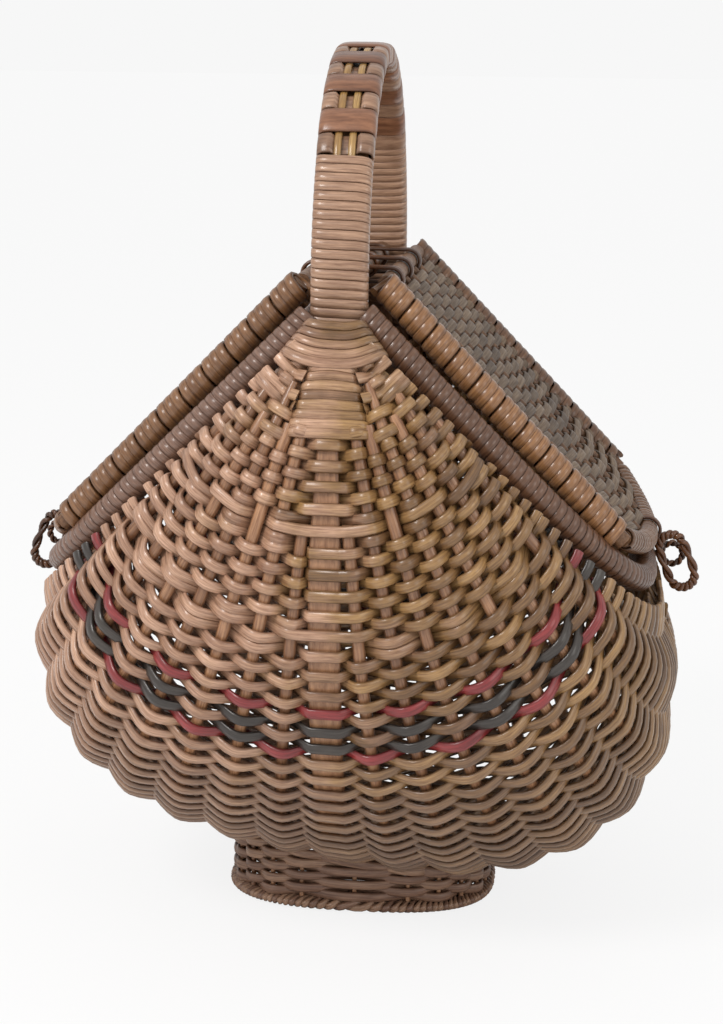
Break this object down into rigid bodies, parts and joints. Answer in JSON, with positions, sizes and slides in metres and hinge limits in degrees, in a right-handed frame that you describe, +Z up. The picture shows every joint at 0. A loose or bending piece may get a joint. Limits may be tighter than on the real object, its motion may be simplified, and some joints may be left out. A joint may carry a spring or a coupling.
{
  "type": "lidded wicker creel basket",
  "caption": "Ribbed wicker creel basket with a rigid arch handle, hinged sloping lids that open left and right, twisted cane closing loops and an oval woven foot.",
  "frame": {"origin": "on the ground, under the middle of the basket", "axes": "+X to the right lid, +Y from the front ear to the back ear, +Z up"},
  "size_m": [0.3232, 0.295, 0.4039],
  "materials": {
    "handle_cane": "varnished",
    "rib_cane": "varnished",
    "body_cane": "varnished",
    "foot_cane": "satin",
    "lid_cane": "satin",
    "wrap_cane": "varnished",
    "dark_cane": "varnished"
  },
  "bodies": {
    "basket": {"handle_core": "handle_cane", "handle_strands": "handle_cane", "handle_wrap": "handle_cane", "ear_lashing_front": "handle_cane", "ear_lashing_back": "handle_cane", "ridge_bar": "handle_cane", "spine": "rib_cane", "rib_left_1": "rib_cane", "rib_left_2": "rib_cane", "rib_left_3": "rib_cane", "rib_left_4": "rib_cane", "rib_left_5": "rib_cane", "rib_left_6": "rib_cane", "rib_left_7": "rib_cane", "rib_right_1": "rib_cane", "rib_right_2": "rib_cane", "rib_right_3": "rib_cane", "rib_right_4": "rib_cane", "rib_right_5": "rib_cane", "rib_right_6": "rib_cane", "rib_right_7": "rib_cane", "rim_left": "rib_cane", "rim_right": "rib_cane", "body_weave": "body_cane", "foot_border": "foot_cane", "foot_weave": "foot_cane", "foot_stakes": "foot_cane", "hinge_loops_left": "dark_cane", "hinge_loops_right": "dark_cane", "rim_loop_left": "dark_cane", "rim_loop_right": "dark_cane"},
    "lid_left": {"lid_left_hinge_rod": "lid_cane", "lid_left_front_rod": "wrap_cane", "lid_left_back_rod": "wrap_cane", "lid_left_outer_rod": "wrap_cane", "lid_left_side_wraps": "wrap_cane", "lid_left_outer_wrap": "wrap_cane", "lid_left_stakes": "lid_cane", "lid_left_weave": "lid_cane"},
    "lid_right": {"lid_right_hinge_rod": "lid_cane", "lid_right_front_rod": "wrap_cane", "lid_right_back_rod": "wrap_cane", "lid_right_outer_rod": "wrap_cane", "lid_right_side_wraps": "wrap_cane", "lid_right_outer_wrap": "wrap_cane", "lid_right_stakes": "lid_cane", "lid_right_weave": "lid_cane"},
    "loop_left": {"lid_left_loop": "dark_cane"},
    "loop_right": {"lid_right_loop": "dark_cane"}
  },
  "joints": [
    {"name": "lid_left_hinge", "type": "hinge", "parent": "basket", "child": "lid_left", "pos_m": [-0.0185, 0, 0.3], "axis": [0, 1, 0], "range_deg": [0, 128]},
    {"name": "lid_right_hinge", "type": "hinge", "parent": "basket", "child": "lid_right", "pos_m": [0.0185, 0, 0.3], "axis": [0, -1, 0], "range_deg": [0, 128]},
    {"name": "loop_left_swing", "type": "hinge", "parent": "lid_left", "child": "loop_left", "pos_m": [-0.1359, 0, 0.17843], "axis": [0, 1, 0], "range_deg": [0, 100]},
    {"name": "loop_right_swing", "type": "hinge", "parent": "lid_right", "child": "loop_right", "pos_m": [0.1359, 0, 0.17843], "axis": [0, -1, 0], "range_deg": [0, 100]}
  ]
}
